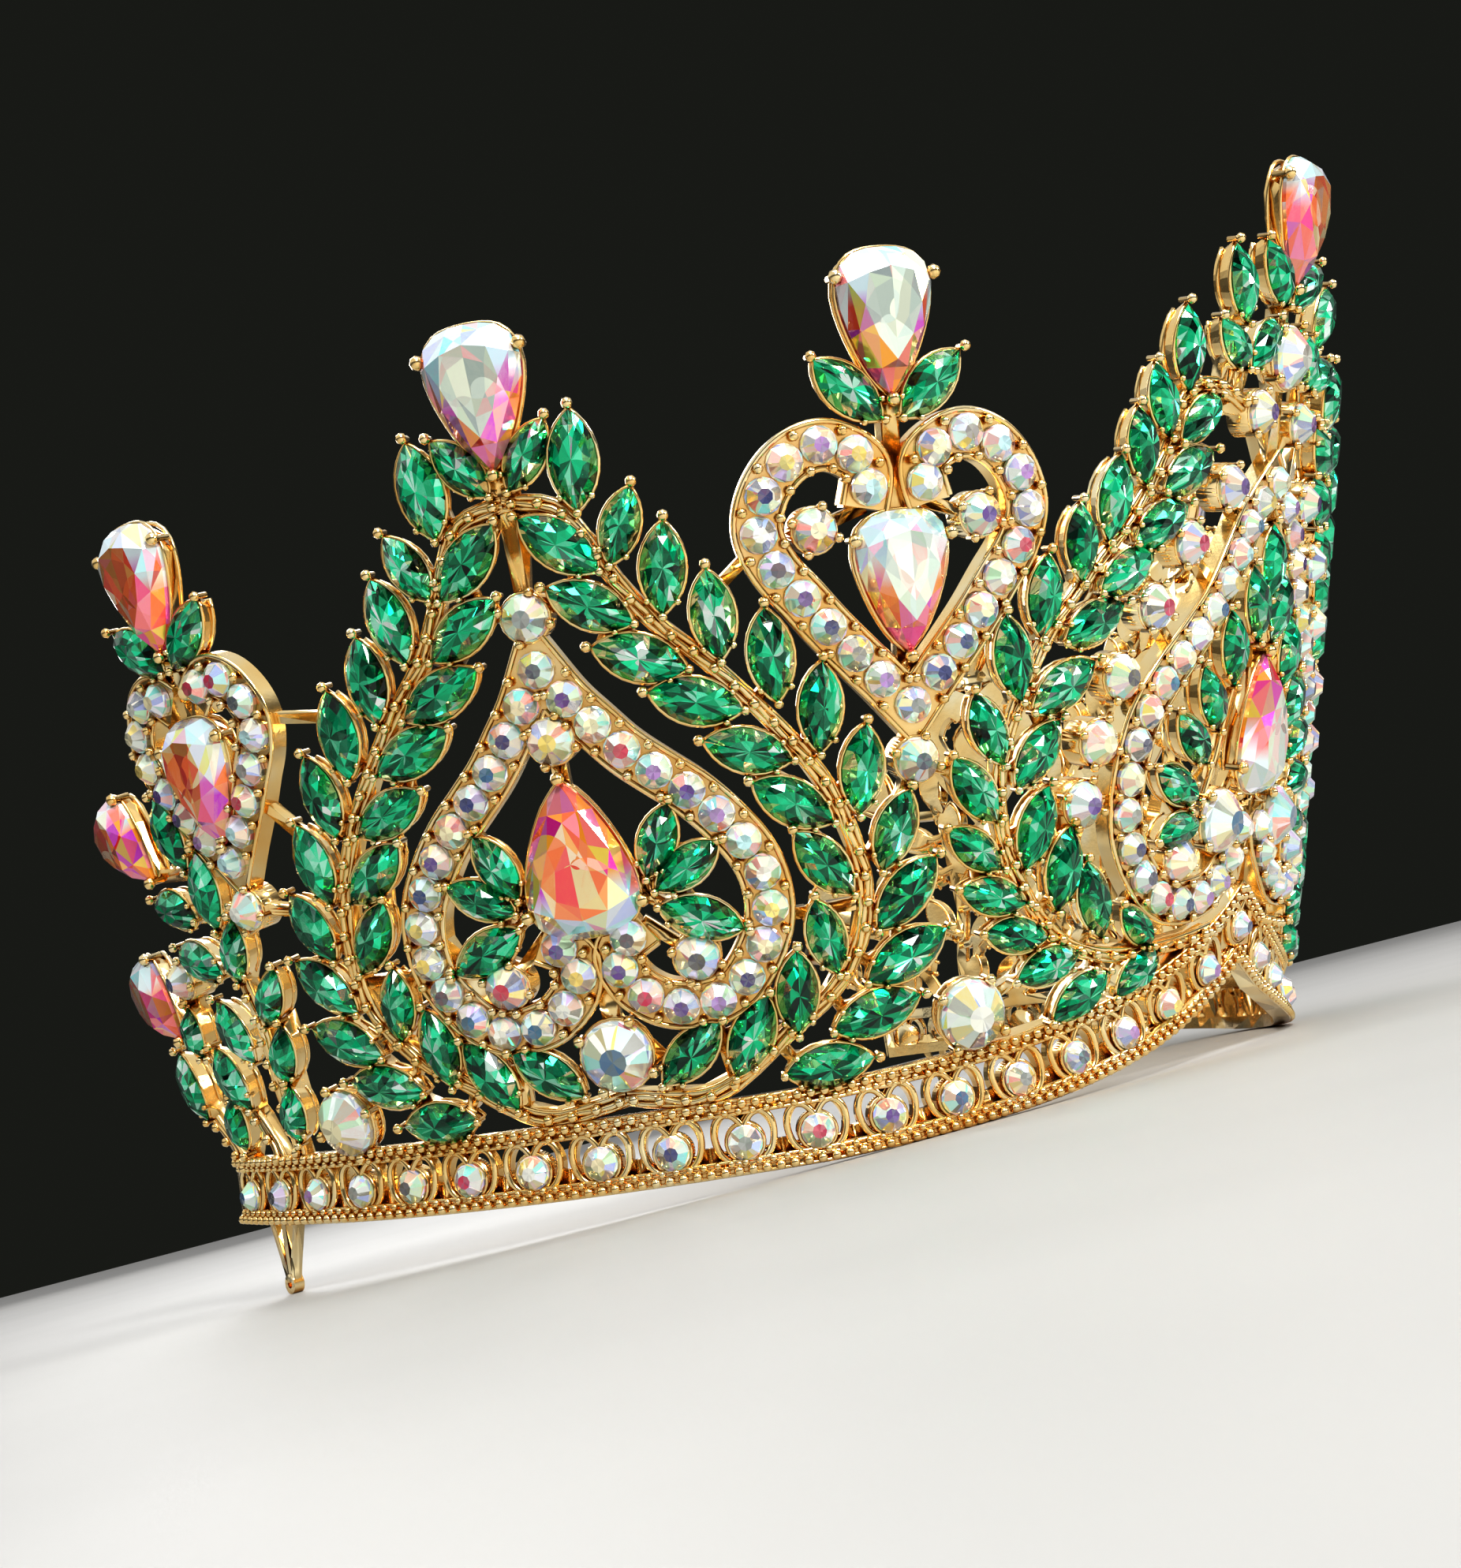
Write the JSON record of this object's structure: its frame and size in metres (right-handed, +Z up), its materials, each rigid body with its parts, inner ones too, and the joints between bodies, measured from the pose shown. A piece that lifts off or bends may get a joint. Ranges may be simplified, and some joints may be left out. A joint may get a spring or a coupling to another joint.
{
  "type": "pageant crown",
  "caption": "Open-backed pageant crown: a pierced ring band carrying leaf wreaths, crystal hearts and drop finials, tallest at the front, set with green leaf stones and crystals.",
  "frame": {"origin": "centre of the bounding box, on the surface that the crown rests on", "axes": "+X to the wearer's left, seen from the front it points to the viewer's right; -Y out of the front panel; +Z up from the surface that it rests on"},
  "size_m": [0.2272, 0.1799, 0.1202],
  "materials": {
    "gold": "polished yellow gold plating",
    "green_stone": "cut, foil-backed emerald green glass",
    "crystal": "cut, foil-backed crystal with an iridescent coating"
  },
  "bodies": {
    "root": {"frame": "gold", "leaves_front": "green_stone", "leaves_near": "green_stone", "leaves_far": "green_stone", "front_top_pear": "crystal", "front_pear": "crystal", "front_top_round": "crystal", "front_round_near": "crystal", "front_round_far": "crystal", "heart_pear_near": "crystal", "heart_pear_far": "crystal", "heart_top_pear_near": "crystal", "heart_top_pear_far": "crystal", "side_pear_near": "crystal", "side_pear_far": "crystal", "side_top_pear_near": "crystal", "side_top_pear_far": "crystal", "side_round_near": "crystal", "side_round_far": "crystal", "rear_heart_pear_near": "crystal", "rear_heart_pear_far": "crystal", "rear_heart_top_pear_near": "crystal", "rear_heart_top_pear_far": "crystal", "rear_upper_pear_near": "crystal", "rear_upper_pear_far": "crystal", "rear_lower_pear_near": "crystal", "rear_lower_pear_far": "crystal", "joint_round_near": "crystal", "joint_round_far": "crystal", "rear_joint_round_near": "crystal", "rear_joint_round_far": "crystal"}
  },
  "joints": []
}
